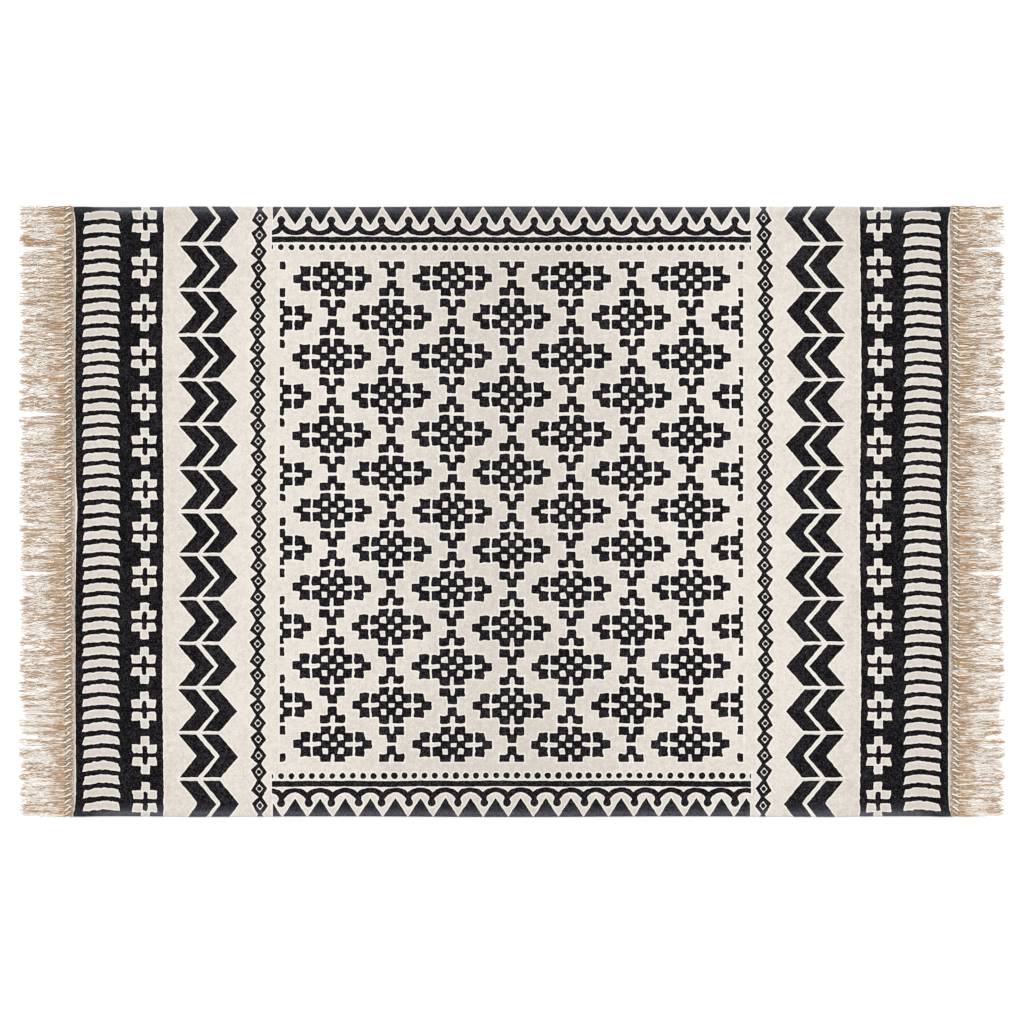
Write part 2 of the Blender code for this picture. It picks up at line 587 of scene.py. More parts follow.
def border_print(places):
    along, across = hand_wobble(places, amount=2.0, size=8.0)
    x = places.x + along
    bend = places.x - 60.0
    side = places.side + across - bend * bend * 0.0000065
    end = abs(places.x + MIDDLE_SHIFT) - PANEL_END
    arch = from_nearest(x - BORDER_FIRST, BORDER_PITCH)
    triangle = abs(arch - 0.2) - (side - TRIANGLE_TIP) * 0.655
    triangle = most(triangle * 0.84, end + 1.6)
    bow = arch * arch
    upper = side - (bow * 0.0375 + ARC_UPPER)
    under_stem = most(abs(arch) - 14.0, 0.0) * 0.35
    lower = bow * 0.0152 + under_stem + ARC_LOWER - side
    arc = most(upper, lower) * 0.72

    first_knob = BORDER_FIRST - BORDER_PITCH / 2
    turn = reckon("COSINE", (x - first_knob) * (math.pi / BORDER_PITCH))
    turn = reckon("SIGN", turn) * within_one((x - KNOB_TURN) / 25.0)
    knob = from_nearest(x - first_knob - turn * KNOB_OFFSET, BORDER_PITCH)
    head = distance(knob, side - KNOB_SIDE) - KNOB_HALF
    stem = most(abs(knob) - STEM_HALF, abs(side - STEM_SIDE) - STEM_LENGTH)
    arc = soft_least(most(arc, side - 424.0), soft_least(head, stem, 1.6), 1.6)

    slow = uneven(places, 16.0)
    line = abs(side - LINE_SIDE + slow * 1.6) - LINE_HALF
    dots = from_nearest(places.x - DOT_FIRST + slow * 3.0 + along, DOT_PITCH)
    dots = distance(dots, side - DOT_SIDE) - DOT_HALF + slow * 1.6
    inside = most(least(least(arc, line), dots), end)
    return least(inside, triangle)


# Stepped diamonds on two lattices, one set between the points of the other, and the end and
# side of the field that cut them off
FIELD_END = 341.2
FIELD_SIDE = 368.5
LATTICE_OUT = 176.2
LATTICE_SIDE = 114.6

# The stepped diamond, one quarter of it: middle and half size of each block of ink and of each
# hole in it, in units of MOTIF_UNIT, and how far out a point still belongs to it
MOTIF_UNIT = 1.473
MOTIF_REACH = 43.0
Block = namedtuple("Block", "x y half_x half_y")
MOTIF_BODY = Block(x=0.0, y=0.0, half_x=12.2, half_y=10.2)
MOTIF_BLOCKS = (
    Block(x=7.1, y=14.1, half_x=5.2, half_y=4.0),
    Block(x=15.7, y=6.9, half_x=4.4, half_y=4.7),
    Block(x=27.2, y=7.2, half_x=4.9, half_y=5.1),
    Block(x=34.8, y=0.0, half_x=4.9, half_y=4.3),
    Block(x=7.4, y=25.3, half_x=5.3, half_y=4.3),
    Block(x=0.0, y=32.7, half_x=4.6, half_y=4.4),
)
MOTIF_HOLES = (
    Block(x=0.0, y=0.0, half_x=2.7, half_y=2.3),
    Block(x=7.6, y=6.9, half_x=3.0, half_y=2.9),
)


def field_print(places):
    along, across = hand_wobble(places, amount=1.0, size=9.0)
    rows = reckon("COSINE", places.y * (TAU / (3 * LATTICE_SIDE))) * 0.8
    rows = rows + reckon("COSINE", places.y * (TAU / LATTICE_SIDE)) * 0.3
    out = abs(places.x - 0.3)
    tilt = limited(places.x / 40.0) * (1.6 - places.y / 700.0) - limited((out - 200.0) / 130.0)
    out = out + limited((out - 20.0) / 50.0) * rows + tilt + along
    pull = limited((places.out - 100.0) / 60.0) + limited((places.out - 290.0) / 50.0)
    pull = pull * 2.5 * (1.0 - places.side / 480.0)
    half = within_one((places.y - 25.0) / 30.0)
    side = abs(places.y - RAISED + half * pull) + across
    shift = least(most(out - LATTICE_OUT / 2, 0.0), LATTICE_OUT)
    out = out - (1.0 - reckon("COSINE", shift * (TAU / LATTICE_OUT))) * 1.1
    first_x = from_nearest(out - LATTICE_OUT / 2, LATTICE_OUT)
    first_y = from_nearest(side, LATTICE_SIDE)
    second_x = from_nearest(out, LATTICE_OUT)
    second_y = from_nearest(side - LATTICE_SIDE / 2, LATTICE_SIDE)
    reach = abs(first_x) + abs(first_y) * 0.6735
    in_first = reckon("LESS_THAN", reach, MOTIF_REACH * MOTIF_UNIT)
    x = second_x + (first_x - second_x) * in_first
    y = second_y + (first_y - second_y) * in_first

    tree = places.tree
    local = tree.nodes.new("ShaderNodeCombineXYZ")
    tree.links.new((x * MM).socket, local.inputs[0])
    tree.links.new((y * MM).socket, local.inputs[1])
    local.inputs[2].default_value = 0.4
    cut_x, cut_y = hand_wobble(places, local.outputs[0], amount=4.6, size=11.0)
    x = abs(x + cut_x) / MOTIF_UNIT
    y = abs(y + cut_y) / MOTIF_UNIT

    motif = block_from(MOTIF_BODY, x, y, 1.4)
    for hole in MOTIF_HOLES:
        motif = most(motif, -block_from(hole, x, y, 0.8))
    for piece in MOTIF_BLOCKS:
        motif = soft_least(motif, block_from(piece, x, y, 1.8), 1.7)
    motif = motif * MOTIF_UNIT - 0.15
    clip = most(abs(places.x + MIDDLE_SHIFT) - FIELD_END, places.side - FIELD_SIDE)
    return most(motif, clip)


# Pitch of the threads in millimetres, and how deep in metres the weave and the twist of the
# yarn are
WEFT_PITCH = 2.1
WARP_PITCH = 1.9
WEAVE_DEPTH = 0.00022
YARN_TWIST_PITCH = 2.3
YARN_TWIST_DEPTH = 0.00018
HEADING_PITCH = 1.55
HEADING_TWIST_PITCH = 2.4
HEADING_TWIST_DEPTH = 0.00016


def weave_height(places, stray):
    """The height of the plain weave, from 0 in its gaps to 1 on its threads."""
    weft = reckon("SINE", reckon("MULTIPLY_ADD", places.x, math.pi / WEFT_PITCH, stray))
    warp = reckon("SINE", reckon("MULTIPLY_ADD", places.y, math.pi / WARP_PITCH, stray))
    crossing = weft * warp
    return most(abs(warp) + crossing, abs(weft) - crossing) * 0.5


def shader_of(material):
    return material.node_tree.nodes["Principled BSDF"]


def new_material(name, roughness, sheen):
    material = bpy.data.materials.new(name)
    material.use_nodes = True
    shader = shader_of(material)
    shader.inputs["Roughness"].default_value = roughness
    shader.inputs["Specular IOR Level"].default_value = 0.04
    shader.inputs["Sheen Weight"].default_value = sheen
    shader.inputs["Sheen Roughness"].default_value = 0.6
    return material


def lay_on(material, colour, roughness):
    tree = material.node_tree
    tree.links.new(colour, shader_of(material).inputs["Base Color"])
    tree.links.new(roughness.socket, shader_of(material).inputs["Roughness"])


def raise_surface(material, height, depth):
    """Bump of this depth in metres where the height goes from 0 to 1."""
    tree = material.node_tree
    bump = tree.nodes.new("ShaderNodeBump")
    bump.inputs["Strength"].default_value = 1.0
    bump.inputs["Distance"].default_value = depth
    tree.links.new(height.socket, bump.inputs["Height"])
    tree.links.new(bump.outputs[0], shader_of(material).inputs["Normal"])


# Where the cloth's look changes, in millimetres: its end, which takes less ink, the fold of the
# hem, with worn ink and a painted sheen, and the width of the pale edge beside the ink
END_OF_INK = 642.6
HEM_FOLD = 6.8
PALE_EDGE = 2.6


def cotton_material(name, print_of=None, light=CREAM_LIGHT, dark=CREAM_DARK):
    """Woven cotton, with the ink of one band of the print on it."""
    material = new_material(name, 0.9, 0.02)
    places = places_on(material)
    clouds = uneven(places, 17.0, 2.0)
    stray = number_from(noise(places, 55.0, 1.0)) * 5.0
    height = weave_height(places, stray)
    grain = noise(places, 620.0, 1.0)
    fine, speck, _ = parts_of(grain)
    lengthwise = number_from(noise(places, 1.0, 0.0, (5.0, 420.0, 0.0)))
    crosswise = number_from(noise(places, 1.0, 0.0, (420.0, 7.0, 0.0)))
    streaks = (lengthwise + crosswise) - 1.0
    blotch = uneven(places, 150.0, 2.0)
    # The cream's tone over the rug: palest about 340 mm out, darker at the middle and towards the
    # long sides, and darker towards the short ends, which is a painted fall-off of the light.
    paler_and_painted_falloff = reckon("COSINE", (places.out - 340.0) * (math.pi / 340.0)) * 0.22
    paler_and_painted_falloff = paler_and_painted_falloff + limited((places.out - 300.0) / 100.0) * 0.08
    paler_and_painted_falloff = paler_and_painted_falloff - limited((places.out - 480.0) / 100.0) * 0.20
    paler_and_painted_falloff = paler_and_painted_falloff - limited((places.side - 280.0) / 160.0) * 0.20
    tone = 0.5 + clouds * 0.5 + blotch * 1.2 + streaks * 0.22 + (fine - 0.5) * 1.9
    # The threads of the weave a little paler and its gaps a little darker: painted shade.
    tone = tone + (height - 0.6) * 0.2 + paler_and_painted_falloff
    cream = colour_between(tone, dark, light)
    fleck = limited((speck - 0.735) * 14.0) * 0.3
    cream = colour_between(fleck, cream, COTTON_FLECK)
    colour = cream

    if print_of:
        end = limited((places.out - END_OF_INK) / 1.2) * (0.55 + fine * 0.5)
        cream = colour_between(end, cream, CREAM_END)
        print_edge = print_of(places)
        beside = limited(1.0 - print_edge / PALE_EDGE) * (1.0 - end) * 0.8
        cream = colour_between(beside, cream, CREAM_BESIDE_INK)
        # Near the hems' fold the ink turns light bluish grey, strongest at the fold: partly worn
        # ink and partly a painted sheen where the fold rolls over. It is stronger from 450 mm out
        # and weaker again past 596 mm.
        off_fold = most(HALF_WIDTH * IN_MM - places.side - HEM_FOLD, 0.0)
        worn_and_sheen = reckon("POWER", 0.80, off_fold) * (0.62 + (fine - 0.5) * 1.5)
        stronger_out = limited((places.out - 450.0) / 60.0) * 0.4
        worn_and_sheen = worn_and_sheen * (1.0 + stronger_out - limited((places.out - 596.0) / 25.0))
        inner = limited((print_edge + 0.3) * -0.45)
        # The ink is also darker towards the short ends: painted fall-off of the light.
        painted_end_falloff = limited((places.out - 430.0) / 130.0) * 0.13
        pale = 0.22 - painted_end_falloff + (fine - 0.5) * 2.9 + clouds * 0.5 + blotch * 0.8
        ink = colour_between(pale * inner, INK_DARK, INK_LIGHT)
        ink = colour_between(worn_and_sheen, ink, INK_WORN_AND_SHEEN)
        ragged = (height - 0.6) * 0.5
        cover = limited(0.5 - (print_edge + ragged) / 0.4)
        colour = colour_between(cover, cream, ink)

    lay_on(material, colour, limited(0.86 + clouds * 0.2 + (fine - 0.5) * 0.12))
    raise_surface(material, height + (fine - 0.5) * 0.5, WEAVE_DEPTH)
    return material


# Where the yarn's look changes, in millimetres: how far out the knots' shade and the warmer
# tone beyond them reach, and how high the yarn over each knot lies
KNOT_END = 660.5
WARM_END = 692.0
OVER_KNOT = 4.9


def yarn_material(name):
    """Loose twisted cotton yarn of varied tone, with painted light on the yarn that lies high,
    painted shade where it lies low and in the knots, and a painted highlight on the knots' loops.
    """
    material = new_material(name, 0.7, 0.12)
    places = places_on(material)
    out, z = places.out, places.z
    by_yarn = uneven(places, 1.0, 1.0, (30.0, 330.0, 260.0))
    by_lock = uneven(places, 1.0, 1.0, (26.0, 105.0, 0.0))
    fibre = uneven(places, 1400.0, 1.0)
    speck = uneven(places, 420.0, 1.0)
    near_knot = limited((WARM_END - out) / 32.0)
    # Yarn that lies higher is paler and yarn that lies low is tan: painted light and painted
    # shade, laid over each yarn's own tone.
    high = limited((z - 0.5) / (near_knot * 2.4 + 2.4))
    tone = high * 1.5 + by_yarn * 7.0 + by_lock * 2.6 - 0.17
    tone = tone - near_knot * 0.50 + fibre * 0.4
    light = colour_between(near_knot * 0.9, YARN_PALE, YARN_WARM)
    colour = colour_between(tone, YARN_TAN, light)
    # Yarn lying down by the floor is darkened further: painted shade.
    deep = limited((1.3 - z) / 1.1) * 0.22
    colour = colour_between(deep, colour, YARN_SHADE)
    in_knot = limited((KNOT_END - out) / 3.0)
    # Low in the knots, beneath the top loop, the yarn is dark: painted shade in the knots'
    # pockets.
    low = limited((OVER_KNOT - z) / 0.8)
    painted_pocket_shade = in_knot * low * (0.70 + speck * 4.6)
    colour = colour_between(painted_pocket_shade, colour, YARN_SHADE)
    # The top of each knot's over loop is nearly white: painted highlight.
    painted_loop_highlight = in_knot * (1.0 - low) * limited(0.88 + by_lock * 3.0)
    colour = colour_between(painted_loop_highlight, colour, LOOP_HIGHLIGHT)
    lay_on(material, colour, limited(0.72 + fibre * 0.3))
    twist = wave(places.x + (places.y + z) * 1.7, YARN_TWIST_PITCH) * 0.5 + 0.5
    raise_surface(material, twist + fibre * 0.6, YARN_TWIST_DEPTH)
    return material


def heading_material(name):
    """Closely beaten wefts of the heading, each a dull beige cord."""
    material = new_material(name, 0.85, 0.08)
    places = places_on(material)
    fine = number_from(noise(places, 900.0, 1.0))
    slow = uneven(places, 340.0, 1.0)
    # Each weft paler along its crest and darker between the wefts: painted shade.
    painted_weft_shade = wave(places.out, HEADING_PITCH)
    tone = 0.55 + painted_weft_shade * 0.35 + (fine - 0.5) * 2.4 + slow * 4.4
    colour = colour_between(tone, HEADING_DARK, HEADING_LIGHT)
    first_weft = limited((645.6 - places.out) / 0.8) * 0.6
    colour = colour_between(first_weft, colour, CREAM_END)
    lay_on(material, colour, limited(0.84 + (fine - 0.5) * 0.3))
    twist = wave(places.y + places.x * 0.8, HEADING_TWIST_PITCH)
    raise_surface(material, twist * 0.5 + fine * 0.6, HEADING_TWIST_DEPTH)
    return material


# Making pieces


def nothing_selected():
    bpy.ops.object.select_all(action="DESELECT")


def take(piece):
    nothing_selected()
    piece.select_set(True)
    bpy.context.view_layer.objects.active = piece


def new_grid(name, columns, rows):
    nothing_selected()
    bpy.ops.mesh.primitive_grid_add(x_subdivisions=columns, y_subdivisions=rows, size=1.0)
    piece = bpy.context.object
    piece.name = name
    return piece


def end_of_cloth(y, ear):
    """How far from the middle the cloth's short end lies at this place across the rug."""
    across = y / HALF_WIDTH
    return HALF_LENGTH - END_WAIST * (1 - across * across) + HEM_EAR * ear


def in_ear(y):
    """1 in the hem's small ear, which stands out past the cloth's end, and 0 elsewhere."""
    return 1.0 if HALF_WIDTH - abs(y) < EAR_DEPTH else 0.0


def edge_share(x, side):
    """The cloth's width at this place along the rug, as a share of its full width."""
    phase = TAU * EDGE_WAVES * side * x / CLOTH_LENGTH
    wave_in = EDGE_WAVE * (1 - math.cos(phase)) / 2
    pinched = max(0.0, 1 - ((abs(x) - PINCH_AT) / PINCH_REACH) ** 2) ** 0.5
    return 1 - (wave_in + HEM_PINCH * pinched) / HALF_WIDTH


def soft_lift(x, y):
    """How far the cloth lies clear of the floor in its slow, low swells."""
    swell = (
        math.sin(17.0 * x + 9.0 * y + 0.6)
        + math.sin(-29.0 * x + 23.0 * y + 1.9)
        + 0.7 * math.sin(11.0 * x - 41.0 * y + 4.2)
        + 0.5 * math.sin(63.0 * x + 52.0 * y)
    )
    return SHEET_LIFT * (0.5 + swell / 6.4)


def select_edges_at(piece, side):
    """Selects the outermost line of edges on one long side."""
    bpy.ops.mesh.select_all(action="DESELECT")
    bpy.ops.object.mode_set(mode="OBJECT")
    mesh = piece.data
    furthest = max(v.co.y * side for v in mesh.vertices)
    line = {v.index for v in mesh.vertices if v.co.y * side > furthest - 1e-5}
    for edge in mesh.edges:
        edge.select = set(edge.vertices) <= line
    bpy.ops.object.mode_set(mode="EDIT")


def cut_across(place, normal):
    bpy.ops.mesh.select_all(action="SELECT")
    bpy.ops.mesh.bisect(plane_co=place, plane_no=normal)


def band_of(x, y):
    """Which band of the print a face lies in, counted as the prints in make_cloth are."""
    for band, start in enumerate(BANDS_FROM):
        if abs(x) > start:
            return band
    return len(BANDS_FROM) + (0 if abs(y) > FIELD_TO_SIDE else 1)


def hem_runs():
    """How far each row of the hem lies beyond the flat cloth, measured along the cloth."""
    runs = []
    run = 0.0
    last = (HEM_START, SHEET_MIDDLE / MM)
    for row in HEM_SECTION:
        run += math.dist(row, last) * MM
        last = row
        runs.append(run)
    return runs


def unrolled(y, z, runs):
    """How far across a point of the sheet lies when both hems are rolled out flat."""
    inset = (HALF_WIDTH - abs(y)) / MM
    if inset > HEM_START - 0.01:
        return y
    place = (inset, z / MM)
    row = min(range(len(runs)), key=lambda i: math.dist(HEM_SECTION[i], place))
    return math.copysign(HALF_WIDTH - HEM_START * MM + runs[row], y)


def map_for_baking(mesh):
    """Lays the sheet, still without thickness, flat over the square."""
    runs = hem_runs()
    full = CLOTH_WIDTH - 2 * HEM_START * MM + 2 * runs[-1]
    flat = mesh.uv_layers[0]
    flat.name = "OFBake"
    for loop in mesh.loops:
        x, y, z = mesh.vertices[loop.vertex_index].co
        across = unrolled(y, z, runs) / full + 0.5
        along = MAP_MARGIN + MAP_LENGTH * (x / CLOTH_LENGTH + 0.5)
        flat.uv[loop.index].vector = (along, across)


def part_the_map(mesh, back):
    """Gives the face most of the square, the back a strip, and each rim face a small cell."""
    uv = mesh.uv_layers["OFBake"].uv
    rim = []
    for face in mesh.polygons:
        corners = [uv[i].vector.copy() for i in face.loop_indices]
        if face.material_index != back:
            for i, corner in zip(face.loop_indices, corners):
                uv[i].vector = (corner.x, MAP_FACE_FROM + MAP_FACE * corner.y)
        elif max(c.x for c in corners) - min(c.x for c in corners) < 1e-5:
            rim.append(face)
        elif max(c.y for c in corners) - min(c.y for c in corners) < 1e-5:
            rim.append(face)
        else:
            for i, corner in zip(face.loop_indices, corners):
                uv[i].vector = (corner.x, MAP_MARGIN + MAP_BACK * corner.y)
    for n, face in enumerate(rim):
        left = MAP_MARGIN + MAP_LENGTH * n / len(rim)
        right = left + MAP_RIM_FILL / len(rim)
        low, high = MAP_RIM_FROM, MAP_RIM_TO
        cell = ((left, low), (right, low), (right, high), (left, high))
        for i, corner in zip(face.loop_indices, cell):
            uv[i].vector = corner


def make_cloth():
    piece = new_grid("rug_cloth", CLOTH_COLUMNS, CLOTH_ROWS)
    flat_width = CLOTH_WIDTH - 2 * HEM_START * MM
    bpy.ops.object.mode_set(mode="EDIT")
    bpy.ops.transform.resize(value=(CLOTH_LENGTH, flat_width, 1.0))
    bpy.ops.transform.translate(value=(0.0, 0.0, SHEET_MIDDLE))
    for side in (-1, 1):
        select_edges_at(piece, side)
        inset, height = HEM_START, SHEET_MIDDLE / MM
        for next_inset, next_height in HEM_SECTION:
            step = (0.0, side * (inset - next_inset) * MM, (next_height - height) * MM)
            bpy.ops.mesh.extrude_region_move(TRANSFORM_OT_translate={"value": step})
            inset, height = next_inset, next_height
    for place in BANDS_FROM:
        cut_across((place, 0.0, 0.0), (1.0, 0.0, 0.0))
        cut_across((-place, 0.0, 0.0), (1.0, 0.0, 0.0))
    cut_across((0.0, FIELD_TO_SIDE, 0.0), (0.0, 1.0, 0.0))
    cut_across((0.0, -FIELD_TO_SIDE, 0.0), (0.0, 1.0, 0.0))
    bpy.ops.object.mode_set(mode="OBJECT")

    mesh = piece.data
    prints = (
        ("cotton_bars", bars_print),
        ("cotton_crosses", crosses_print),
        ("cotton_chevrons", chevrons_print),
        ("cotton_chain", chain_print),
        ("cotton_border", border_print),
        ("cotton_field", field_print),
    )
    for name, print_of in prints:
        mesh.materials.append(cotton_material(name, print_of))
    mesh.materials.append(cotton_material("cotton_back", None, BACK_LIGHT, BACK_DARK))
    for face in mesh.polygons:
        face.material_index = band_of(face.center.x, face.center.y)
    map_for_baking(mesh)

    for vert in mesh.vertices:
        x, y, z = vert.co
        side = math.copysign(1, y)
        new_x = x / HALF_LENGTH * end_of_cloth(y, in_ear(y))
        fade = min(1.0, max(0.0, (HALF_WIDTH - abs(y) - HEM_START * MM) / LIFT_FADE))
        lift = soft_lift(x, y) * fade
        vert.co = Vector((new_x, y * edge_share(new_x, side), z + lift))

    take(piece)
    solidify = piece.modifiers.new("thickness", "SOLIDIFY")
    solidify.thickness = SHEET_THICKNESS
    solidify.offset = 0.0
    solidify.use_even_offset = True
    solidify.material_offset = len(prints)
    solidify.material_offset_rim = len(prints)
    bpy.ops.object.modifier_apply(modifier=solidify.name)
    bpy.ops.object.shade_smooth_by_angle(angle=SMOOTH_ANGLE)
    part_the_map(piece.data, len(prints))
    return piece


def spun(name, strands, thickness, sides, material):
    """Strands of round yarn in one mesh. A strand is a row of (place, share of thickness)."""
    curve = bpy.data.curves.new(name, "CURVE")
    curve.dimensions = "3D"
    curve.bevel_depth = thickness / 2
    curve.bevel_resolution = (sides - 4) // 2
    curve.use_fill_caps = True
    for strand in strands:
        spline = curve.splines.new("POLY")
        spline.points.add(len(strand) - 1)
        spline.use_smooth = True
        for point, (place, share) in zip(spline.points, strand):
            point.co = (*place, 1.0)
            point.radius = share
    curve.materials.append(material)
    piece = bpy.data.objects.new(name, curve)
    bpy.context.scene.collection.objects.link(piece)
    take(piece)
    bpy.ops.object.convert(target="MESH")
    return bpy.context.object


def make_stitches(prints):
    """The seam along each hem, sewn before the printing, so that its thread is inked too."""
    path = ((-0.5, -STITCH_DIP), (-0.3, 0.0), (0.3, 0.0), (0.5, -STITCH_DIP))
    strands = []
    count = int((CLOTH_LENGTH - 2 * SEAM_END) / STITCH_PITCH)
    for side in (-1, 1):
        for i in range(count):
            x = (i + 0.5 - count / 2) * STITCH_PITCH
            strand = []
            for along, lift in path:
                place_x = x + along * STITCH_LENGTH
                y = side * (HALF_WIDTH - STITCH_INSET) * edge_share(place_x, side)
                strand.append(((place_x, y, STITCH_HEIGHT + lift), 1.0))
            strands.append(strand)
    piece = spun("hem_stitches", strands, STITCH_THICKNESS, 4, prints[0])
    for material in prints[1:]:
        piece.data.materials.append(material)
    for face in piece.data.polygons:
        face.material_index = band_of(face.center.x, face.center.y)
    return piece


def make_heading(name, end, material):
    """The ribbed strip between the cloth's end and the knots."""
    piece = new_grid(name, 4 * HEADING_RIBS, HEADING_ROWS)
    mesh = piece.data
    for vert in mesh.vertices:
        across = vert.co.x + 0.5
        y = vert.co.y * CLOTH_WIDTH
        inner = end_of_cloth(y, in_ear(y)) + SEAM_GAP
        outer = HEADING_EDGE + HEADING_WAVE * math.sin(TAU * y / KNOT_PITCH)
        outer += HEADING_STRAY * math.sin(61 * y)
        x = inner + (outer - inner) * across
        rib = abs(math.sin(math.pi * HEADING_RIBS * across))
        twist = 0.5 + 0.5 * math.sin(TAU * (y / RIB_TWIST + across * 2.0))
        z = HEADING_TOP - RIB_DEPTH + RIB_DEPTH * rib * (0.75 + 0.25 * twist)
        vert.co = Vector((end * x, y, z))
    take(piece)
    solidify = piece.modifiers.new("thickness", "SOLIDIFY")
    solidify.thickness = HEADING_THICKNESS
    solidify.offset = -end
    bpy.ops.object.modifier_apply(modifier=solidify.name)
    bpy.ops.object.mode_set(mode="EDIT")
    bpy.ops.mesh.select_all(action="SELECT")
    bpy.ops.mesh.normals_make_consistent(inside=False)
    bpy.ops.object.mode_set(mode="OBJECT")
    mesh.materials.append(material)
    bpy.ops.object.shade_smooth_by_angle(angle=RIB_ANGLE)
    return piece


def parting_push(y):
    """How far the partings push the tip of the lock that is knotted at y."""
    push = 0.0
    for parting in PARTINGS:
        away = y - parting.y
        fade = math.exp(-abs(away) / parting.reach)
        push += math.copysign(parting.opening / 2, away) * fade
    return push


Lock = namedtuple("Lock", "y length drift open_above open_below")


def lock_layout():
    """Each lock's place, length and drift at its tip, and the sides where the fringe is open."""
    chance = random.Random(LOCK_SEED)
    knots = [(i + 0.5) * KNOT_PITCH - HALF_WIDTH for i in range(KNOTS)]
    lengths = [LOCK_LENGTH - LOCK_RAGGEDNESS * chance.random() ** 2 for _ in knots]
    sways = [LOCK_SWAY * (2 * chance.random() - 1) for _ in knots]
    sways[0] = sways[-1] = 0.0
    drifts = [parting_push(y) + sway for y, sway in zip(knots, sways)]
    tips = [y + drift for y, drift in zip(knots, drifts)]
    parted = [above - below > OPEN_GAP for below, above in zip(tips, tips[1:])]
    return [
        Lock(*values)
        for values in zip(knots, lengths, drifts, parted + [True], [True] + parted)
    ]


def along_table(table, share):
    """A value read off a short table of (share, value), straight between its rows."""
    for (low, start), (high, finish) in zip(table, table[1:]):
        if share <= high:
            return start + (finish - start) * (share - low) / (high - low)
    return table[-1][1]


# Along a lock, from knot to tip: share of its drift, width in mm, and height of its upper
# yarns in mm
LOCK_DRIFT = ((0.0, 0.0), (0.10, 0.02), (0.28, 0.30), (0.68, 0.75), (1.0, 1.0))
LOCK_WIDTH = ((0.0, 7.4), (0.10, 7.6), (0.30, 8.2), (0.7, 8.5), (1.0, 8.8))
LOCK_TOP = ((0.0, 2.0), (0.08, 1.9), (0.3, 1.7), (0.7, 1.2), (1.0, 0.7))


def within_fringe(y):
    """The place across, kept within the two sides of the fringe."""
    return max(-FRINGE_LIMIT, min(FRINGE_LIMIT, y))


def yarn_strand(lock, rank, upper, wisp, chance):
    """One loose yarn of a lock, as a row of points with its thickness.

    rank is the yarn's place across the lock, from -1 to 1, upper is true for one that lies on
    top of the others, and wisp is how far the tip of its half of the lock strays sideways.
    """
    length = lock.length - YARN_START - YARN_TIP - YARN_RAGGEDNESS * chance.random() ** 1.4
    if chance.random() < BROKEN_SHARE:
        length *= BROKEN_LENGTH
    sway = chance.uniform(*SWAY) * MM
    sway_length = chance.uniform(*SWAY_LENGTH) * MM
    sway_phase = chance.uniform(0, TAU)
    crimp = chance.uniform(*CRIMP) * MM
    crimp_length = chance.uniform(*CRIMP_LENGTH) * MM
    crimp_phase = chance.uniform(0, TAU)
    tip = chance.gauss(0, TIP_SWING)
    fullness = chance.uniform(*THICKNESS_SHARE)
    crossing = 0.0
    if chance.random() < CROSSING_SHARE:
        crossing = chance.choice((-1, 1)) * chance.uniform(*CROSSING) * MM
    crossing_start = chance.uniform(*CROSSING_START)
    radius = YARN_THICKNESS / 2 * fullness
    lift_phase = chance.uniform(0, TAU)
    reach = chance.uniform(*OPEN_REACH) * MM
    curl = chance.choice((-1, 1)) * chance.uniform(*CURL_RADIUS) * MM
    curled = chance.random() < CURL_SHARE and not (lock.open_above or lock.open_below)
    strand = []
    for i in range(YARN_POINTS):
        share = i / (YARN_POINTS - 1)
        run = length * share
        x = HEADING_EDGE + YARN_START + run
        grow = min(1.0, share / 0.2)
        middle = lock.y + lock.drift * along_table(LOCK_DRIFT, share)
        aside = rank * along_table(LOCK_WIDTH, share) / 2 * MM
        aside += grow * sway * math.sin(TAU * run / sway_length + sway_phase)
        aside += grow * crimp * (0.6 + share) * math.sin(TAU * run / crimp_length + crimp_phase)
        aside += share * share * tip + share * wisp
        cross = max(0.0, min(1.0, (share - crossing_start) * 1.5))
        aside += crossing * math.sin(math.pi * cross) ** 2
        if lock.open_above:
            aside = min(aside, reach)
        if lock.open_below:
            aside = max(aside, -reach)
        z = radius + YARN_REST
        if upper:
            z += along_table(LOCK_TOP, share) * MM
        lift = 0.5 + 0.5 * math.sin(TAU * run / YARN_LIFT_LENGTH + lift_phase)
        z += YARN_LIFT * lift * (1.1 - share)
        if crossing:
            z += CROSSING_LIFT * math.sin(math.pi * share)
        y = within_fringe(middle + aside)
        if curled and share > CURL_START:
            turn = (share - CURL_START) * length / curl
            x = curl_x + curl * math.sin(turn)
            y = within_fringe(curl_y + curl * (1.0 - math.cos(turn)))
            z += CURL_LIFT
        else:
            curl_x, curl_y = x, y
        taper = max(0.0, share - TAPER_FROM) / (1.0 - TAPER_FROM) * TAPER
        strand.append(((x, y, z), fullness * (1.0 - taper)))
    return strand


def make_yarn(name, end, locks, material):
    chance = random.Random(YARN_SEED)
    strands = []
    for lock in locks:
        wisps = [chance.gauss(0, WISP_SWING) for _ in range(2)]
        uppers = set(chance.sample(range(YARNS_IN_LOCK), UPPER_YARNS))
        for j in range(YARNS_IN_LOCK):
            rank = 2 * (j + 0.5) / YARNS_IN_LOCK - 1 + chance.uniform(-0.12, 0.12)
            wisp = wisps[0] if rank < 0 else wisps[1]
            strands.append(yarn_strand(lock, rank, j in uppers, wisp, chance))
    return spun(name, turned(strands, end), YARN_THICKNESS, 4, material)


def turned(strands, end):
    """The same strands at the other end of the rug, where they mirror."""
    return [[((x * end, y, z), share) for (x, y, z), share in strand] for strand in strands]


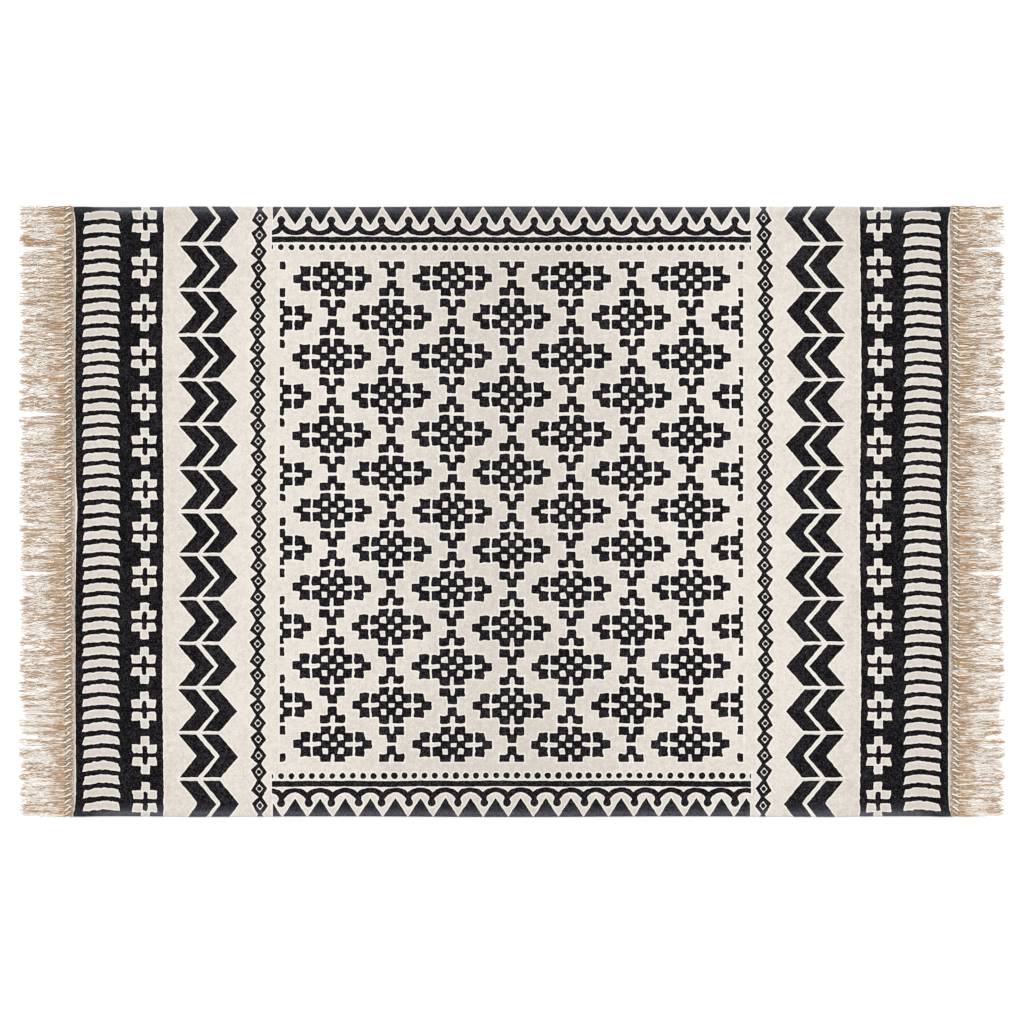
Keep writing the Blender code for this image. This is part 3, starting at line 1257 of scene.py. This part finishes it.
# A knot, in millimetres from the heading's edge and from the knot's middle: the yarn that
# crosses over the top, the one that comes back under it, and the yarns that run through.
OVER_LOOP = (
    (-2.6, 2.4, 1.7),
    (-1.8, 2.9, 3.3),
    (-0.2, 2.9, 4.5),
    (2.2, 2.0, 4.9),
    (4.4, 0.4, 4.9),
    (6.4, -1.4, 4.6),
    (8.6, -2.4, 3.9),
    (13.5, -2.7, 2.9),
    (21.0, -2.6, 2.2),
    (29.0, -2.2, 1.8),
)
UNDER_LOOP = (
    (-1.9, -2.7, 1.5),
    (-1.0, -3.2, 2.5),
    (0.8, -2.9, 3.1),
    (3.6, -0.9, 3.3),
    (6.2, 1.5, 3.0),
    (8.6, 2.8, 2.2),
    (10.6, 3.1, 1.4),
)
THROUGH = ((-1.8, 1.5), (0.5, 2.0), (5.5, 2.4), (9.5, 2.1), (13.5, 1.2))
THROUGH_RANKS = (-3.7, -2.2, -0.7, 0.7, 2.2, 3.7)
UNDER_THICKNESS = 0.75
THROUGH_THICKNESS = 0.8
THROUGH_TIP = 0.3
LOOP_TIP = 0.4


def make_knots(name, end, locks, material):
    chance = random.Random(YARN_SEED + 1)
    strands = []
    for lock in locks:
        lean = chance.uniform(*KNOT_LEAN)
        size = chance.uniform(*KNOT_LENGTH)
        rise = chance.uniform(*KNOT_RISE)
        shift = chance.uniform(*KNOT_SHIFT)
        fullness = chance.uniform(*KNOT_FULLNESS)

        def placed(x, y, z):
            """A point of this knot, from its place in millimetres."""
            return (HEADING_EDGE + x * size * MM, lock.y + (y + shift) * MM, z * rise * MM)

        for path, thickness in ((OVER_LOOP, fullness), (UNDER_LOOP, UNDER_THICKNESS)):
            strand = []
            for x, y, z in path:
                thinner = 0.45 * max(0, x - 10) / 19
                share = thickness * (1.0 - thinner)
                strand.append((placed(x, y * lean, z), share))
            place, share = strand[-1]
            strand[-1] = (place, share * LOOP_TIP)
            strands.append(strand)
        for rank in THROUGH_RANKS:
            strand = []
            for x, z in THROUGH:
                squeeze = 0.85 if x > 5 else 1.0
                strand.append((placed(x, rank * squeeze, z), THROUGH_THICKNESS))
            strand[-1] = (strand[-1][0], THROUGH_TIP)
            strands.append(strand)
    return spun(name, turned(strands, end), KNOT_YARN, 6, material)


def make_loose_fibres(name, end, material):
    """A few fine fibres that lie astray in the partings."""
    chance = random.Random(YARN_SEED + 2)
    strands = []
    for parting in PARTINGS:
        if parting.opening < FIBRE_PARTING:
            continue
        for _ in range(FIBRES_IN_PARTING):
            start = chance.uniform(*FIBRE_START) * MM
            length = chance.uniform(*FIBRE_LENGTH) * MM
            bow = chance.uniform(*FIBRE_BOW) * MM
            lean = chance.uniform(*FIBRE_LEAN) * MM
            strand = []
            for i in range(FIBRE_POINTS):
                share = i / (FIBRE_POINTS - 1)
                x = HEADING_EDGE + start + length * share
                y = parting.y + lean * (share - 0.5) + bow * math.sin(math.pi * share)
                z = FIBRE_THICKNESS * (1.0 + math.sin(math.pi * share))
                strand.append(((x, y, z), 1.0))
            strands.append(strand)
    return spun(name, turned(strands, end), FIBRE_THICKNESS, 4, material)


# Camera, light and floor


def make_camera():
    data = bpy.data.cameras.new("camera")
    data.lens = LENS
    data.sensor_width = SENSOR
    data.clip_end = 100.0
    camera = bpy.data.objects.new("camera", data)
    camera.location = (CAMERA_ALONG, CAMERA_ACROSS, CAMERA_HEIGHT + SHEET_THICKNESS)
    bpy.context.scene.collection.objects.link(camera)
    bpy.context.scene.camera = camera


def make_light():
    data = bpy.data.lights.new("soft_key", "SUN")
    data.energy = KEY_STRENGTH
    data.angle = KEY_SOFTNESS
    light = bpy.data.objects.new("soft_key", data)
    light.rotation_euler = Vector(KEY_AIM).to_track_quat("-Z", "Y").to_euler()
    bpy.context.scene.collection.objects.link(light)
    world = bpy.data.worlds.new("studio")
    world.use_nodes = True
    background = world.node_tree.nodes["Background"]
    background.inputs["Color"].default_value = (1.0, 1.0, 1.0, 1.0)
    background.inputs["Strength"].default_value = STUDIO_STRENGTH
    bpy.context.scene.world = world
    bpy.context.scene.view_settings.view_transform = "Standard"


def make_floor():
    nothing_selected()
    bpy.ops.mesh.primitive_plane_add(size=FLOOR_SIZE)
    floor = bpy.context.object
    floor.name = "floor"
    material = bpy.data.materials.new("pale_floor")
    material.use_nodes = True
    shader = shader_of(material)
    shader.inputs["Base Color"].default_value = (*FLOOR, 1.0)
    shader.inputs["Roughness"].default_value = 0.9
    shader.inputs["Specular IOR Level"].default_value = 0.1
    floor.data.materials.append(material)


# The rug


make_camera()
make_light()
make_floor()

cloth = make_cloth()
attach(cloth, "root")
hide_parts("cloth")

stitches = make_stitches(list(cloth.data.materials)[:-1])
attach(stitches, "root")
going_with_cloth = [stitches]

yarn_finish = yarn_material("cotton_yarn")
heading_finish = heading_material("heading_weft")
locks = lock_layout()
for end, node in ((-1, "fringe_left"), (1, "fringe_right")):
    where = node.split("_")[1]
    fringe = [
        make_heading("heading_" + where, end, heading_finish),
        make_knots("knots_" + where, end, locks, yarn_finish),
        make_yarn("yarn_" + where, end, locks, yarn_finish),
        make_loose_fibres("loose_fibres_" + where, end, yarn_finish),
    ]
    for piece in fringe:
        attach(piece, "root")
        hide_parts(node)
    going_with_cloth += fringe
